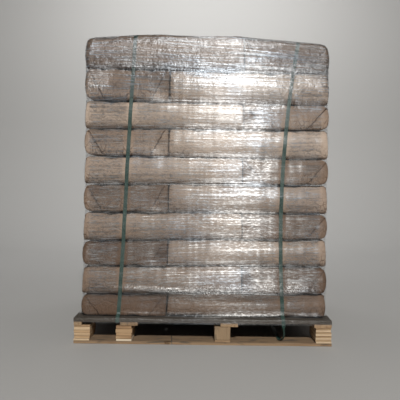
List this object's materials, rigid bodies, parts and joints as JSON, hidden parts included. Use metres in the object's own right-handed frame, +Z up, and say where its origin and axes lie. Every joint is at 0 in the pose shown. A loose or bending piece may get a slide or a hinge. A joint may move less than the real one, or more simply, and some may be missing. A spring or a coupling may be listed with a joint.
{
  "type": "pallet of sacks",
  "caption": "Filled paper sacks stacked in interlocked layers on a wooden pallet, strapped and wrapped in clear stretch film.",
  "frame": {"origin": "middle of the footprint, on the floor", "axes": "+Z up; the front, where the fork pockets with the slack strap open, faces -Y; +X to the right seen from the front"},
  "size_m": [1.1048, 1.1048, 1.3269],
  "materials": {
    "kraft_paper": "creased brown kraft paper",
    "timber": "rough sawn, weathered",
    "green_strapping": "embossed polyester strapping",
    "stretch_film": "clear, many layers, streaked"
  },
  "bodies": {
    "root": {"block_back_1": "timber", "block_back_2": "timber", "block_back_3": "timber", "block_back_4": "timber", "block_front_1": "timber", "block_front_2": "timber", "block_front_3": "timber", "block_front_4": "timber", "block_middle_1": "timber", "block_middle_2": "timber", "block_middle_3": "timber", "block_middle_4": "timber", "bottom_board_back": "timber", "bottom_board_front_left": "timber", "bottom_board_front_right": "timber", "bottom_board_middle": "timber", "sack_01_back_left": "kraft_paper", "sack_01_back_right": "kraft_paper", "sack_01_front_left": "kraft_paper", "sack_01_front_right": "kraft_paper", "sack_02_back_left": "kraft_paper", "sack_02_back_right": "kraft_paper", "sack_02_front_left": "kraft_paper", "sack_02_front_right": "kraft_paper", "sack_03_back_left": "kraft_paper", "sack_03_back_right": "kraft_paper", "sack_03_front_left": "kraft_paper", "sack_03_front_right": "kraft_paper", "sack_04_back_left": "kraft_paper", "sack_04_back_right": "kraft_paper", "sack_04_front_left": "kraft_paper", "sack_04_front_right": "kraft_paper", "sack_05_back_left": "kraft_paper", "sack_05_back_right": "kraft_paper", "sack_05_front_left": "kraft_paper", "sack_05_front_right": "kraft_paper", "sack_06_back_left": "kraft_paper", "sack_06_back_right": "kraft_paper", "sack_06_front_left": "kraft_paper", "sack_06_front_right": "kraft_paper", "sack_07_back_left": "kraft_paper", "sack_07_back_right": "kraft_paper", "sack_07_front_left": "kraft_paper", "sack_07_front_right": "kraft_paper", "sack_08_back_left": "kraft_paper", "sack_08_back_right": "kraft_paper", "sack_08_front_left": "kraft_paper", "sack_08_front_right": "kraft_paper", "sack_09_back_left": "kraft_paper", "sack_09_back_right": "kraft_paper", "sack_09_front_left": "kraft_paper", "sack_09_front_right": "kraft_paper", "sack_10_back_left": "kraft_paper", "sack_10_back_right": "kraft_paper", "sack_10_front_left": "kraft_paper", "sack_10_front_right": "kraft_paper", "strap_left": "green_strapping", "strap_right": "green_strapping", "stretch_film": "stretch_film", "top_deck": "timber"}
  },
  "joints": []
}
